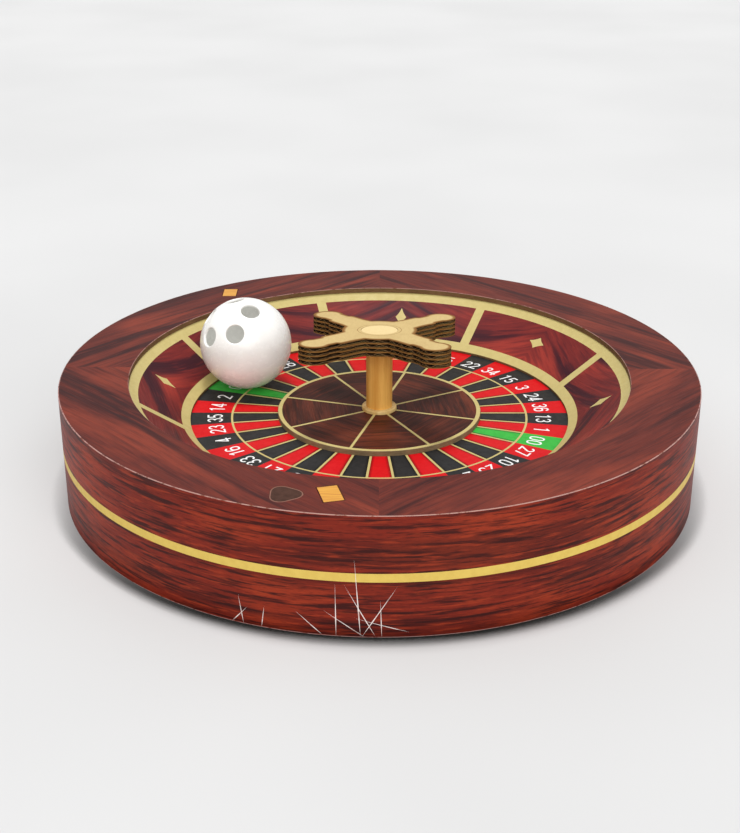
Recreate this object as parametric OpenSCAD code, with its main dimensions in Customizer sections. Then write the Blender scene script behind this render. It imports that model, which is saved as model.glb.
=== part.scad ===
// Toy roulette wheel made of board: a drum-shaped housing with a sloping bowl,
// a number deck that turns on a wooden dowel, a four-armed handle and a ball.
// The origin is the centre of the underside and +Z runs up the spindle.

/* [Housing] */
// Outside diameter of the wheel
wheel_d = 360; // [300:5:420]
// Height from the table to the top of the rim
wheel_h = 64.7; // [62:0.1:70]
// Thickness of one sheet of board
board_t = 3; // [2:0.5:4]
// Thickness of the printed sleeve around the wall
wrap_t = 0.4; // [0.2:0.1:0.6]
// Radius of the rim's inner edge
rim_inner_r = 141.5; // [140.5:0.1:141.9]
// Number of ribs that hold up the rim and the bowl
rib_count = 8; // [4:1:8]

/* [Bowl] */
// Radius of the sloping band's inner edge
bowl_inner_r = 108.4; // [104:0.1:109]
// Radius at which the sloping band meets the rim
bowl_outer_r = 142.3; // [142:0.1:145]
// Height of the band's inner edge
bowl_low_z = 38.2; // [38.1:0.1:39.5]
// Thickness of the bent card of the band, measured upright
bowl_card_t = 1.3; // [1:0.1:1.4]
// Radius of the flange glued under the rim
bowl_flange_r = 150; // [147:1:155]
// Inner radius of the hoop under the band
hoop_inner_r = 116; // [115:0.5:118]

/* [Rim details] */
// Thickness of the inlays and the badge, which lie in pockets
inlay_t = 1; // [0.5:0.5:2]
// Width of the back inlay
back_inlay_w = 9.6; // [6:0.1:12]
// Length of the back inlay
back_inlay_l = 14.8; // [10:0.1:18]
// Width of the front inlay
front_inlay_w = 10.8; // [6:0.1:12]
// Length of the front inlay
front_inlay_l = 16.6; // [10:0.1:18]
// Mean radius of the three-sided badge
badge_r = 7.9; // [6:0.1:9]
// How far the badge's three bulges stand out from a circle
badge_bulge = 0.9; // [0:0.1:1.2]

/* [Rotor] */
// Radius of the number deck, which runs under the band's edge
deck_r = 112; // [110:0.5:113]
// Height of the deck's top
deck_z = 36.7; // [36:0.1:36.8]
// Radius of the raised centre disc
disc_r = 58.4; // [50:0.1:60]
// Radius of the hub glued under the deck
hub_r = 45; // [30:1:60]
// Diameter of the wooden dowel
dowel_d = 15; // [12:0.5:18]
// Radius of the collar at the foot of the dowel
collar_r = 10; // [9.5:0.5:14]
// Thickness of the collar
collar_t = 2; // [1:0.5:4]

/* [Handle] */
// Thickness of one sheet of the handle
handle_sheet_t = 2.5; // [2:0.1:3]
// Height of the handle's top at the spindle
handle_z = 87.8; // [82:0.2:100]
// Distance from the spindle to the end of an arm
arm_reach = 55.4; // [50:0.1:58]
// Radius of the round end of an arm
knob_r = 8.8; // [7.5:0.1:9]
// Direction of the first arm
arm_turn = 40.5; // [0:0.5:89]
// Lean of the handle on its dowel, front edge up
handle_lean = 6; // [0:0.1:7]
// Radius of the handle's round middle
hub_round_r = 21.2; // [17:0.1:23]
// Radius of the disc set in the top sheet
cap_r = 10.4; // [9:0.1:12]

/* [Bearing] */
// Radius of the block that holds the bush
block_r = 30; // [24:1:60]
// Radius of the bush's sleeve
bush_r = 10; // [9.5:0.1:11]
// Radius of the bush's flange and of the washer
flange_r = 15; // [12.5:0.5:20]
// Gap all round between the dowel and the bush
running_gap = 0.06; // [0.03:0.01:0.09]

/* [Ball] */
// Diameter of the ball
ball_d = 54.4; // [40:0.2:56]
// Thickness of the ball's wall
ball_wall_t = 1.6; // [1.2:0.1:2.5]
// Radius of each hole in the ball
ball_hole_r = 5.6; // [3:0.1:6]
// Number of holes around the pole
ball_holes = 5; // [3:1:6]
// Angle from the pole to the middle of a hole
ball_hole_tilt = 34; // [28:1:40]
// Distance from the spindle to the ball's centre
ball_orbit_r = 89.2; // [86:0.1:92]
// Direction of the ball from the spindle
ball_turn = 153.4; // [0:0.1:360]
// Height angle of the ball's pole
ball_pole_up = 55; // [0:0.5:90]
// Compass angle of the ball's pole
ball_pole_turn = 224; // [0:0.1:360]
// Turn of the ball about its pole
ball_roll = 62.3; // [0:0.1:359]

/* [Hidden] */
$fn = 96;
// Name of each rib, in order around the wheel
RIBS = ["rib_1", "rib_2", "rib_3", "rib_4", "rib_5", "rib_6", "rib_7", "rib_8"];
// Name of each handle sheet, from the bottom up
SHEETS = ["handle_sheet_1", "handle_sheet_2", "handle_sheet_3", "handle_sheet_4"];
handle_layers = len(SHEETS);

// Clearance around a glued piece, and the squeeze of a pushed-on one
glue_gap = 0.1;
push_grip = 0.02;
// Extra length of a cutting shape past the face it cuts
past = 1;

wheel_r = wheel_d / 2;
wall_r = wheel_r - wrap_t;
wall_inner_r = wall_r - board_t;
rim_low_z = wheel_h - board_t;
hoop_outer_r = hoop_inner_r + board_t;
flange_low_z = rim_low_z - bowl_card_t;
flange_corner_r = bowl_outer_r + 0.2;
under_slope = (flange_low_z - bowl_low_z + bowl_card_t) / (flange_corner_r - bowl_inner_r);

// Centres of the rim's details: distance from the spindle, direction and turn
inlay_back_at = [163.8, 126.8, 0];
inlay_front_at = [159.2, 261.8, 14.3];
badge_at = [164.2, 254.4, 0];

dowel_r = dowel_d / 2;
dowel_low_z = board_t + 1;
dowel_high_z = handle_z - handle_sheet_t - 1.5;
deck_low_z = deck_z - board_t;
disc_top_z = deck_z + board_t;
flange_t = 2;
washer_t = 1.5;
block_top_z = board_t + 17;
bush_top_z = block_top_z + flange_t;
washer_top_z = bush_top_z + washer_t;
hub_low_z = washer_top_z + 0.1;

ball_r = ball_d / 2;
ball_gap = 0.3;
ball_z = deck_z + ball_gap + ball_r;

// Height of the underside of the bowl's card at distance r from the spindle
function bowl_under(r) = bowl_low_z - bowl_card_t + (r - bowl_inner_r) * under_slope;

// A flat ring between two radii and two heights
module ring(inner_r, outer_r, low_z, high_z) {
    difference() {
        translate([0, 0, low_z]) cylinder(r = outer_r, h = high_z - low_z);
        translate([0, 0, low_z - past]) cylinder(r = inner_r, h = high_z - low_z + 2 * past);
    }
}

// A shape placed on the rim at [distance, direction, turn]
module at_rim(place, z) {
    rotate([0, 0, place[1]])
        translate([place[0], 0, z])
            rotate([0, 0, place[2] - place[1]])
                children();
}

module base_board() {
    color("tan") cylinder(r = wall_inner_r - glue_gap, h = board_t);
}

module wall_hoop() {
    color("peru") ring(wall_inner_r, wall_r, 0, rim_low_z);
}

module wall_wrap() {
    color("brown") ring(wall_r, wheel_r, 0, wheel_h);
}

// A three-sided plate, rounded all the way round, with one bulge pointing along +X
module badge_plate(grow, height) {
    turn_step = 10;
    linear_extrude(height) polygon([
        for (a = [0 : turn_step : 360 - turn_step])
            (badge_r + grow + badge_bulge * cos(3 * a)) * [cos(a), sin(a)]
    ]);
}

// An inlay, or its pocket when grow is the clearance
module inlay(width, length, grow, z, height) {
    translate([-width / 2 - grow, -length / 2 - grow, z])
        cube([width + 2 * grow, length + 2 * grow, height]);
}

module rim_board() {
    pocket_z = wheel_h - inlay_t;
    color("brown") difference() {
        ring(rim_inner_r, wall_r, rim_low_z, wheel_h);
        at_rim(inlay_back_at, 0) inlay(back_inlay_w, back_inlay_l, glue_gap, pocket_z, inlay_t + past);
        at_rim(inlay_front_at, 0) inlay(front_inlay_w, front_inlay_l, glue_gap, pocket_z, inlay_t + past);
        at_rim(badge_at, pocket_z) badge_plate(glue_gap, inlay_t + past);
    }
}

module inlay_back() {
    color("goldenrod")
        at_rim(inlay_back_at, 0)
            inlay(back_inlay_w, back_inlay_l, 0, wheel_h - inlay_t, inlay_t);
}

module inlay_front() {
    color("goldenrod")
        at_rim(inlay_front_at, 0)
            inlay(front_inlay_w, front_inlay_l, 0, wheel_h - inlay_t, inlay_t);
}

module rim_badge() {
    color("saddlebrown") at_rim(badge_at, wheel_h - inlay_t) badge_plate(0, inlay_t);
}

// The sloping band, with a flat flange that is glued under the rim
module bowl_band() {
    color("brown") rotate_extrude() polygon([
        [bowl_inner_r, bowl_low_z - bowl_card_t],
        [flange_corner_r, flange_low_z],
        [bowl_flange_r, flange_low_z],
        [bowl_flange_r, rim_low_z],
        [bowl_outer_r, rim_low_z],
        [bowl_inner_r, bowl_low_z]
    ]);
}

module inner_hoop() {
    color("tan") rotate_extrude() polygon([
        [hoop_inner_r, board_t],
        [hoop_outer_r, board_t],
        [hoop_outer_r, bowl_under(hoop_outer_r) - glue_gap],
        [hoop_inner_r, bowl_under(hoop_inner_r) - glue_gap]
    ]);
}

// One upright rib between the inner hoop and the wall, cut to the bowl's underside
module rib(k) {
    color("burlywood") rotate([0, 0, k * 360 / rib_count])
        translate([0, board_t / 2, 0])
            rotate([90, 0, 0])
                linear_extrude(board_t) polygon([
                    [hoop_outer_r, board_t],
                    [wall_inner_r - glue_gap, board_t],
                    [wall_inner_r - glue_gap, rim_low_z],
                    [bowl_flange_r + glue_gap, rim_low_z],
                    [bowl_flange_r + glue_gap, flange_low_z - glue_gap],
                    [flange_corner_r, flange_low_z - glue_gap],
                    [hoop_outer_r, bowl_under(hoop_outer_r) - glue_gap]
                ]);
}

// The block stands on the base and carries the bush
module bearing_block() {
    color("burlywood") ring(bush_r + push_grip, block_r, board_t, block_top_z);
}

module bearing_bush() {
    color("white") difference() {
        union() {
            translate([0, 0, board_t]) cylinder(r = bush_r, h = block_top_z - board_t);
            translate([0, 0, block_top_z]) cylinder(r = flange_r, h = flange_t);
        }
        translate([0, 0, board_t - past]) cylinder(r = dowel_r + running_gap, h = bush_top_z);
    }
}

module thrust_washer() {
    color("whitesmoke") ring(dowel_r + running_gap, flange_r, bush_top_z, washer_top_z);
}

module number_deck() {
    color("firebrick") ring(dowel_r - push_grip, deck_r, deck_low_z, deck_z);
}

module rotor_hub() {
    color("burlywood") ring(dowel_r - push_grip, hub_r, hub_low_z, deck_low_z);
}

module centre_disc() {
    color("saddlebrown") ring(dowel_r - push_grip, disc_r, deck_z, disc_top_z);
}

module spindle_collar() {
    color("tan") ring(dowel_r - push_grip, collar_r, disc_top_z, disc_top_z + collar_t);
}

module spindle() {
    color("goldenrod") translate([0, 0, dowel_low_z])
        cylinder(r = dowel_r, h = dowel_high_z - dowel_low_z);
}

// Outline of one arm along +X: a flared root, a body with round shoulders, a neck and a round end
module arm_outline() {
    knob_x = arm_reach - knob_r;
    shoulder_r = 3;
    shoulder_x = knob_x - 13.2;
    body_w = 18.4;
    neck_w = 14.8;
    root_w = 21;
    root_x = 14;
    flare_x = 24;
    translate([knob_x, 0]) circle(r = knob_r);
    translate([0, -neck_w / 2]) square([knob_x, neck_w]);
    translate([0, -body_w / 2]) square([shoulder_x, body_w]);
    for (side = [-1, 1])
        translate([shoulder_x, side * (body_w / 2 - shoulder_r)])
            circle(r = shoulder_r);
    polygon([
        [0, -root_w / 2], [root_x, -root_w / 2], [flare_x, -body_w / 2],
        [flare_x, body_w / 2], [root_x, root_w / 2], [0, root_w / 2]
    ]);
}

// One sheet of the handle, k = 0 at the bottom, with the dowel's upright bore
module handle_sheet(k) {
    top_sheet = k == handle_layers - 1;
    color("burlywood") difference() {
        translate([0, 0, handle_z]) rotate([-handle_lean, 0, 0])
            translate([0, 0, (k - handle_layers) * handle_sheet_t])
                difference() {
                    linear_extrude(handle_sheet_t) union() {
                        circle(r = hub_round_r);
                        for (a = [0 : 3]) rotate([0, 0, arm_turn + 90 * a]) arm_outline();
                    }
                    if (top_sheet)
                        translate([0, 0, -past]) cylinder(r = cap_r + glue_gap, h = handle_sheet_t + 2 * past);
                }
        if (!top_sheet)
            translate([0, 0, handle_z - 30]) cylinder(r = dowel_r - push_grip, h = 60);
    }
}

// The disc that closes the hole in the top sheet
module handle_cap() {
    color("wheat") translate([0, 0, handle_z]) rotate([-handle_lean, 0, 0])
        translate([0, 0, -handle_sheet_t]) cylinder(r = cap_r, h = handle_sheet_t);
}

// The ball's hollow wall with its holes, pole along +Z and centred on the origin
module ball_wall() {
    difference() {
        sphere(r = ball_r);
        sphere(r = ball_r - ball_wall_t);
        for (k = [0 : ball_holes - 1])
            rotate([0, ball_hole_tilt, ball_roll + k * 360 / ball_holes])
                cylinder(r = ball_hole_r, h = ball_r + past);
    }
}

// One half of the ball; side is 1 above the seam and -1 below it
module ball_half(side) {
    rotate([0, 0, ball_turn]) translate([ball_orbit_r, 0, ball_z])
        rotate([0, 0, -ball_turn])
            rotate([0, 90 - ball_pole_up, ball_pole_turn])
                intersection() {
                    ball_wall();
                    translate([-ball_d, -ball_d, side > 0 ? 0 : -ball_d])
                        cube([2 * ball_d, 2 * ball_d, ball_d]);
                }
}

module ball_shell_top() {
    color("white") ball_half(1);
}

module ball_shell_bottom() {
    color("white") ball_half(-1);
}

base_board();
wall_hoop();
wall_wrap();
rim_board();
inlay_back();
inlay_front();
rim_badge();
bowl_band();
inner_hoop();
for (k = [0 : rib_count - 1])
    rib(k);
bearing_block();
bearing_bush();
thrust_washer();
number_deck();
rotor_hub();
centre_disc();
spindle_collar();
spindle();
for (k = [0 : handle_layers - 1])
    handle_sheet(k);
handle_cap();
ball_shell_top();
ball_shell_bottom();
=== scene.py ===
import math
import random
from collections import namedtuple

import bmesh
import bpy
from mathutils import Matrix, Vector
from mathutils.geometry import delaunay_2d_cdt


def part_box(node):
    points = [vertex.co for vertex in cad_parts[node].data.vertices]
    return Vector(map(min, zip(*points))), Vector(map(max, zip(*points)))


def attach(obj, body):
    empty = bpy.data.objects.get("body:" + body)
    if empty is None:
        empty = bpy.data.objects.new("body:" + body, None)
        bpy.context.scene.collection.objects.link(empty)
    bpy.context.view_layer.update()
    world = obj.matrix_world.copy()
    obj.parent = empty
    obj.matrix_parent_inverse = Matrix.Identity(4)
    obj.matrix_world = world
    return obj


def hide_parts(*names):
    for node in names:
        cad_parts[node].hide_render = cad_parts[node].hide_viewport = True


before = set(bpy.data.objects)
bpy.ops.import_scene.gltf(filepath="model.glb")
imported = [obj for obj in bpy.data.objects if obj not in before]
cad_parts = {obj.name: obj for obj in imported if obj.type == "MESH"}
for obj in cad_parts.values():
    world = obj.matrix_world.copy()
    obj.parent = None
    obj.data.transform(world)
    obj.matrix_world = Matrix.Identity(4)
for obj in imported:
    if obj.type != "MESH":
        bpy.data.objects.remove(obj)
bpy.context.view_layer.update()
random.seed(38)

# Lengths in this script are millimetres and angles are degrees, unless a name says otherwise.
MM = 0.001


# ------------ sizes from the frame
def node_box(node):
    low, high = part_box(node)
    return low / MM, high / MM


WRAP_HIGH = node_box("wall_wrap")[1]
RIM_LOW, RIM_HIGH = node_box("rim_board")
DECK_LOW, DECK_HIGH = node_box("number_deck")
DISC_LOW, DISC_HIGH = node_box("centre_disc")
COLLAR_LOW, COLLAR_HIGH = node_box("spindle_collar")
SPINDLE_HIGH = node_box("spindle")[1]
BOWL_LOW = node_box("bowl_band")[0]
SHELL_BOXES = [node_box(n) for n in ("ball_shell_top", "ball_shell_bottom")]

WHEEL_R = WRAP_HIGH.x
WHEEL_H = WRAP_HIGH.z
RIM_INNER_R = 141.5
BOWL_INNER_R = 108.4
BOWL_OUTER_R = 142.3
BOWL_CARD_T = 1.3
BOWL_INNER_Z = BOWL_LOW.z + BOWL_CARD_T
DECK_R = DECK_HIGH.x
DECK_Z = DECK_HIGH.z
DISC_R = DISC_HIGH.x
DISC_Z = DISC_HIGH.z
DOWEL_R = SPINDLE_HIGH.x
COLLAR_R = COLLAR_HIGH.x

# The handle leans about the X axis through a point on the spindle
HANDLE_Z = 87.8
HANDLE_LEAN = 6.0
ARM_TURN = 40.5
ARM_REACH = 55.4
SHEETS = 4
SHEET_T = 2.5
CAP_R = 10.4

BALL_LOW = [min(low[i] for low, high in SHELL_BOXES) for i in range(3)]
BALL_HIGH = [max(high[i] for low, high in SHELL_BOXES) for i in range(3)]
BALL_CENTRE = (Vector(BALL_LOW) + Vector(BALL_HIGH)) / 2
BALL_R = (BALL_HIGH[2] - BALL_LOW[2]) / 2
BALL_POLE_UP = 55.0
BALL_POLE_TURN = 224.0
BALL_ROLL = 62.3
BALL_HOLES = 5
BALL_HOLE_TILT = 34.0
BALL_HOLE_R = 5.6
BALL_WALL = 1.6


# ------------ colours and node helpers
def srgb(r, g, b):
    """Linear colour of an 8-bit display colour."""
    def lin(c):
        c = c / 255
        return c / 12.92 if c <= 0.04045 else ((c + 0.055) / 1.055) ** 2.4
    return (lin(r), lin(g), lin(b), 1.0)


class Nodes:
    """Short calls for building one material's node tree."""

    def __init__(self, name, roughness, specular):
        self.material = bpy.data.materials.new(name)
        self.material.use_nodes = True
        self.tree = self.material.node_tree
        self.shader = self.tree.nodes["Principled BSDF"]
        self.shader.inputs["Roughness"].default_value = roughness
        self.shader.inputs["Specular IOR Level"].default_value = specular

    def add(self, kind, **settings):
        node = self.tree.nodes.new(kind)
        for key, value in settings.items():
            setattr(node, key, value)
        return node

    def plug(self, source, socket):
        self.tree.links.new(source, socket)

    def feed(self, socket, value):
        if isinstance(value, bpy.types.NodeSocket):
            self.plug(value, socket)
        else:
            socket.default_value = value

    def coords(self):
        """The object's own coordinates, in metres, so a noise over them is scaled per metre."""
        return self.add("ShaderNodeTexCoord").outputs["Object"]

    def grain_uv(self):
        return self.add("ShaderNodeUVMap", uv_map="grain").outputs["UV"]

    def attribute(self, name):
        return self.add("ShaderNodeAttribute", attribute_name=name).outputs["Fac"]

    def scaled(self, vector, scale, offset=(0, 0, 0)):
        node = self.add("ShaderNodeMapping")
        self.feed(node.inputs["Vector"], vector)
        node.inputs["Scale"].default_value = scale
        node.inputs["Location"].default_value = offset
        return node.outputs["Vector"]

    def noise(self, vector, scale=1.0, detail=3.0, rough=0.5):
        node = self.add("ShaderNodeTexNoise")
        self.feed(node.inputs["Vector"], vector)
        node.inputs["Scale"].default_value = scale
        node.inputs["Detail"].default_value = detail
        node.inputs["Roughness"].default_value = rough
        return node.outputs["Fac"]

    def ramp(self, fac, stops):
        node = self.add("ShaderNodeValToRGB")
        self.feed(node.inputs["Fac"], fac)
        points = node.color_ramp.elements
        while len(points) < len(stops):
            points.new(0.5)
        for point, (place, colour) in zip(points, stops):
            point.position = place
            point.color = colour
        return node.outputs["Color"]

    def levels(self, fac, low, high, out_low=0.0, out_high=1.0):
        node = self.add("ShaderNodeMapRange", interpolation_type="SMOOTHSTEP")
        self.feed(node.inputs["Value"], fac)
        node.inputs["From Min"].default_value = low
        node.inputs["From Max"].default_value = high
        node.inputs["To Min"].default_value = out_low
        node.inputs["To Max"].default_value = out_high
        return node.outputs["Result"]

    def math(self, operation, a, b=0.0):
        node = self.add("ShaderNodeMath", operation=operation)
        self.feed(node.inputs[0], a)
        self.feed(node.inputs[1], b)
        return node.outputs[0]

    def mix(self, fac, a, b):
        node = self.add("ShaderNodeMix", data_type="RGBA")
        self.feed(node.inputs["Factor"], fac)
        self.feed(node.inputs["A"], a)
        self.feed(node.inputs["B"], b)
        return node.outputs["Result"]

    def shift(self, vector, x, y):
        """Adds x and y, sockets or numbers, to a vector."""
        parts = self.add("ShaderNodeCombineXYZ")
        self.feed(parts.inputs["X"], x)
        self.feed(parts.inputs["Y"], y)
        node = self.add("ShaderNodeVectorMath", operation="ADD")
        self.plug(vector, node.inputs[0])
        self.plug(parts.outputs[0], node.inputs[1])
        return node.outputs[0]

    def bump(self, height, strength, distance_mm):
        node = self.add("ShaderNodeBump")
        node.inputs["Strength"].default_value = strength
        node.inputs["Distance"].default_value = distance_mm * MM
        self.feed(node.inputs["Height"], height)
        self.plug(node.outputs["Normal"], self.shader.inputs["Normal"])

    def colour(self, value):
        self.feed(self.shader.inputs["Base Color"], value)

    def roughness(self, value):
        self.feed(self.shader.inputs["Roughness"], value)


# ------------ materials
def rosewood(name, deep, base, bright, bands, depth, lines, sway=6.0, pores=0.15):
    """Printed rosewood figure. The grain UV is in millimetres with U along the grain.
    bands sets how close the broad dark bands lie and depth how dark they are, lines and pores
    are the amounts of fine streaks and flecks, and sway is how far the grain wanders."""
    roughness = 0.5
    n = Nodes(name, roughness=roughness, specular=0.16)
    uv = n.grain_uv()
    bend = n.noise(n.scaled(uv, (0.008, 0.016, 1)), detail=1)
    flow = n.shift(uv, 0.0, n.math("MULTIPLY", n.math("SUBTRACT", bend, 0.5), 2 * sway))
    cloud = n.noise(n.scaled(flow, (0.012, 0.035, 1), (7, 3, 0)), detail=3)
    figure = n.noise(n.scaled(flow, (0.004, bands, 1)), detail=3, rough=0.55)
    streak = n.noise(n.scaled(flow, (0.028, 0.42, 1)), detail=4, rough=0.6)
    glint = n.noise(n.scaled(flow, (0.05, 0.55, 1), (3, 9, 0)), detail=3)
    pore = n.noise(n.scaled(flow, (0.22, 2.4, 1), (11, 5, 0)), detail=1)
    fine = n.noise(n.scaled(flow, (0.05, 2.2, 1)), detail=2)
    body = n.mix(n.levels(cloud, 0.45, 0.66, 0.0, 0.75), base, bright)
    body = n.mix(n.levels(figure, 0.38, 0.52, depth, 0.0), body, deep)
    body = n.mix(n.levels(streak, 0.38, 0.54, lines, 0.0), body, deep)
    body = n.mix(n.levels(glint, 0.52, 0.68, 0.0, 0.7 * lines), body, bright)
    body = n.mix(n.levels(pore, 0.33, 0.45, pores, 0.0), body, deep)
    n.colour(body)
    n.roughness(n.levels(fine, 0.3, 0.7, roughness + 0.06, roughness - 0.06))
    n.bump(fine, 0.08, 0.04)
    return n.material


def printed(name, colour, darker, roughness=0.42, shaded=False, speckle=0.35):
    """A printed ink with slight mottling. A shaded ink darkens by the shade attribute."""
    n = Nodes(name, roughness=roughness, specular=0.12)
    place = n.coords()
    mottle = n.noise(place, scale=260, detail=4, rough=0.6)
    ink = n.mix(n.levels(mottle, 0.35, 0.7, 0.0, speckle), colour, darker)
    if shaded:
        ink = n.mix(n.attribute("shade"), darker, ink)
    n.colour(ink)
    n.roughness(n.levels(mottle, 0.3, 0.7, roughness - 0.05, roughness + 0.07))
    n.bump(n.noise(place, scale=1500, detail=2), 0.03, 0.02)
    return n.material


def board_edge(name, light, dark, lines=True):
    """The cut edge of solid board: fibres lying flat in thin plies."""
    n = Nodes(name, roughness=0.85, specular=0.2)
    place = n.coords()
    fibre = n.noise(n.scaled(place, (260, 260, 2600)), detail=4, rough=0.7)
    blotch = n.noise(place, scale=70, detail=3)
    colour = n.ramp(n.math("ADD", n.math("MULTIPLY", fibre, 0.7), n.math("MULTIPLY", blotch, 0.3)),
                    [(0.32, dark), (0.68, light)])
    n.colour(colour)
    n.bump(fibre, 0.5 if lines else 0.25, 0.12)
    return n.material


def worn_paper(name, pale, under):
    """The whitened fold of a printed sheet, broken up where ink remains."""
    n = Nodes(name, roughness=0.75, specular=0.2)
    place = n.coords()
    wear = n.noise(place, scale=210, detail=5, rough=0.7)
    n.colour(n.ramp(n.levels(wear, 0.34, 0.60), [(0.0, under), (0.55, pale), (1.0, pale)]))
    n.bump(wear, 0.4, 0.1)
    return n.material


def kraft(name, light, dark):
    """Plain kraft board with flecks of fibre."""
    n = Nodes(name, roughness=0.88, specular=0.15)
    place = n.coords()
    fleck = n.noise(n.scaled(place, (900, 320, 900)), detail=5, rough=0.75)
    cloud = n.noise(place, scale=40, detail=3)
    tone = n.math("ADD", n.math("MULTIPLY", fleck, 0.55), n.math("MULTIPLY", cloud, 0.45))
    n.colour(n.ramp(tone, [(0.36, dark), (0.64, light)]))
    n.bump(fleck, 0.3, 0.08)
    return n.material


def scorched_board(name, face, toast, char):
    """Laser-cut liner: pale on its face and browned towards the cut by the scorch attribute."""
    n = Nodes(name, roughness=0.8, specular=0.2)
    place = n.coords()
    fleck = n.noise(n.scaled(place, (700, 240, 700)), detail=5, rough=0.7)
    cloud = n.noise(place, scale=55, detail=3)
    pale = n.mix(n.levels(fleck, 0.38, 0.7, 0.0, 0.14), face, toast)
    pale = n.mix(n.levels(cloud, 0.45, 0.75, 0.0, 0.10), pale, toast)
    fraying = n.math("MULTIPLY", n.math("SUBTRACT", cloud, 0.5), 0.35)
    ragged = n.math("ADD", n.attribute("scorch"), fraying)
    browned = n.mix(n.levels(ragged, 0.02, 0.62), pale, toast)
    n.colour(n.mix(n.levels(ragged, 0.72, 1.12), browned, char))
    n.bump(fleck, 0.25, 0.08)
    return n.material


def fluting(name, light, dark):
    """The corrugated medium, in flecked brown paper."""
    n = Nodes(name, roughness=0.9, specular=0.1)
    fleck = n.noise(n.coords(), scale=420, detail=4, rough=0.7)
    n.colour(n.ramp(fleck, [(0.35, dark), (0.70, light)]))
    n.bump(fleck, 0.3, 0.08)
    return n.material


def dowel_wood(name, light, deep, flecks=1.0):
    """Turned beech with the grain along Z and short flecks."""
    n = Nodes(name, roughness=0.5, specular=0.35)
    place = n.coords()
    long_grain = n.noise(n.scaled(place, (330, 330, 14)), detail=4, rough=0.6)
    fleck = n.noise(n.scaled(place, (1500, 1500, 130)), detail=2)
    band = n.noise(n.scaled(place, (120, 120, 6)), detail=2)
    tone = n.math("ADD", n.math("MULTIPLY", long_grain, 0.6), n.math("MULTIPLY", band, 0.4))
    wood = n.ramp(tone, [(0.34, deep), (0.62, light)])
    fleck_amount = n.levels(fleck, 0.58, 0.70, 0.0, 0.35 * flecks)
    n.colour(n.mix(fleck_amount, wood, deep))
    n.roughness(n.levels(long_grain, 0.3, 0.7, 0.58, 0.42))
    n.bump(long_grain, 0.2, 0.08)
    return n.material


def inlay_wood(name, light, deep):
    """Yellow veneer with fine straight grain across the piece."""
    n = Nodes(name, roughness=0.45, specular=0.35)
    place = n.coords()
    grain = n.noise(n.scaled(place, (60, 900, 60)), detail=4, rough=0.6)
    n.colour(n.ramp(grain, [(0.35, deep), (0.60, light)]))
    n.bump(grain, 0.2, 0.05)
    return n.material


def ball_plastic(name, colour, painted_glow):
    """Glossy moulded plastic. Its emission is a painted glow that stands in for the light soaking through
    its thin wall.
    """
    n = Nodes(name, roughness=0.24, specular=0.5)
    place = n.coords()
    soft = n.noise(place, scale=90, detail=2)
    n.colour(n.ramp(soft, [(0.3, srgb(240, 239, 235)), (0.7, colour)]))
    n.roughness(n.levels(n.noise(place, scale=350, detail=3), 0.3, 0.7, 0.20, 0.30))
    n.bump(n.noise(place, scale=60, detail=1), 0.01, 0.1)
    n.shader.inputs["Subsurface Weight"].default_value = 0.12
    n.shader.inputs["Subsurface Radius"].default_value = (1.0, 1.0, 1.0)
    n.shader.inputs["Subsurface Scale"].default_value = 3.0 * MM
    n.shader.inputs["Coat Weight"].default_value = 0.3
    n.shader.inputs["Coat Roughness"].default_value = 0.08
    n.shader.inputs["Emission Color"].default_value = (1.0, 1.0, 0.96, 1.0)
    n.shader.inputs["Emission Strength"].default_value = painted_glow
    return n.material


def floor_paint(name, light, dark, shadow):
    """Pale paper with a painted contact shadow close under the wheel, darkest at its front."""
    n = Nodes(name, roughness=0.9, specular=0.1)
    place = n.coords()
    paper = n.mix(n.levels(n.noise(place, scale=3, detail=2), 0.3, 0.7), light, dark)
    # Painted contact shadow: ambient occlusion darkens the paper near the wheel, and the front side gets
    # the most of it.
    near = n.add("ShaderNodeAmbientOcclusion", samples=8)
    near.inputs["Distance"].default_value = 15 * MM
    split = n.add("ShaderNodeSeparateXYZ")
    n.plug(place, split.inputs[0])
    behind = n.levels(split.outputs["Y"], -170 * MM, -30 * MM, 0.0, 0.8)
    unshadowed_share = n.math("MAXIMUM", n.levels(near.outputs["AO"], 0.62, 0.88), behind)
    n.colour(n.mix(unshadowed_share, shadow, paper))
    return n.material


WALL_WOOD = rosewood("wall_rosewood", srgb(48, 13, 12), srgb(122, 35, 20), srgb(160, 56, 28),
                     sway=2.5, bands=0.08, depth=0.55, lines=0.9, pores=0.4)
RIM_WOOD = rosewood("rim_rosewood", srgb(40, 15, 18), srgb(98, 38, 29), srgb(136, 56, 38),
                    bands=0.075, depth=0.8, lines=0.35)
BOWL_WOOD = rosewood("bowl_rosewood", srgb(44, 12, 26), srgb(112, 34, 32), srgb(164, 56, 44),
                     sway=8.0, bands=0.07, depth=0.85, lines=0.35)
DISC_WOOD = rosewood("disc_rosewood", srgb(30, 10, 6), srgb(68, 27, 16), srgb(112, 49, 29),
                     sway=2.0, bands=0.12, depth=0.4, lines=0.6, pores=0.4)
GOLD = printed("gold_ink", srgb(196, 180, 119), srgb(180, 162, 101))
STRIPE_GOLD = printed("stripe_gold_ink", srgb(220, 190, 96), srgb(200, 166, 78))
RED = printed("red_ink", srgb(206, 14, 22), srgb(120, 4, 10), shaded=True, speckle=0.08)
BLACK = printed("black_ink", srgb(42, 42, 42), srgb(12, 12, 14), shaded=True, speckle=0.2)
GREEN = printed("green_ink", srgb(60, 178, 66), srgb(16, 84, 28), shaded=True, speckle=0.15)
WHITE_INK = printed("white_ink", srgb(240, 240, 240), srgb(214, 214, 214), speckle=0.3)
EDGE = board_edge("board_cut_edge", srgb(134, 104, 70), srgb(84, 60, 36))
DISC_EDGE = board_edge("disc_cut_edge", srgb(150, 132, 100), srgb(104, 84, 60))
WORN = worn_paper("worn_fold", srgb(186, 146, 140), srgb(104, 50, 44))
WORN_INNER = worn_paper("worn_inner_fold", srgb(160, 122, 112), srgb(100, 48, 40))
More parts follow.
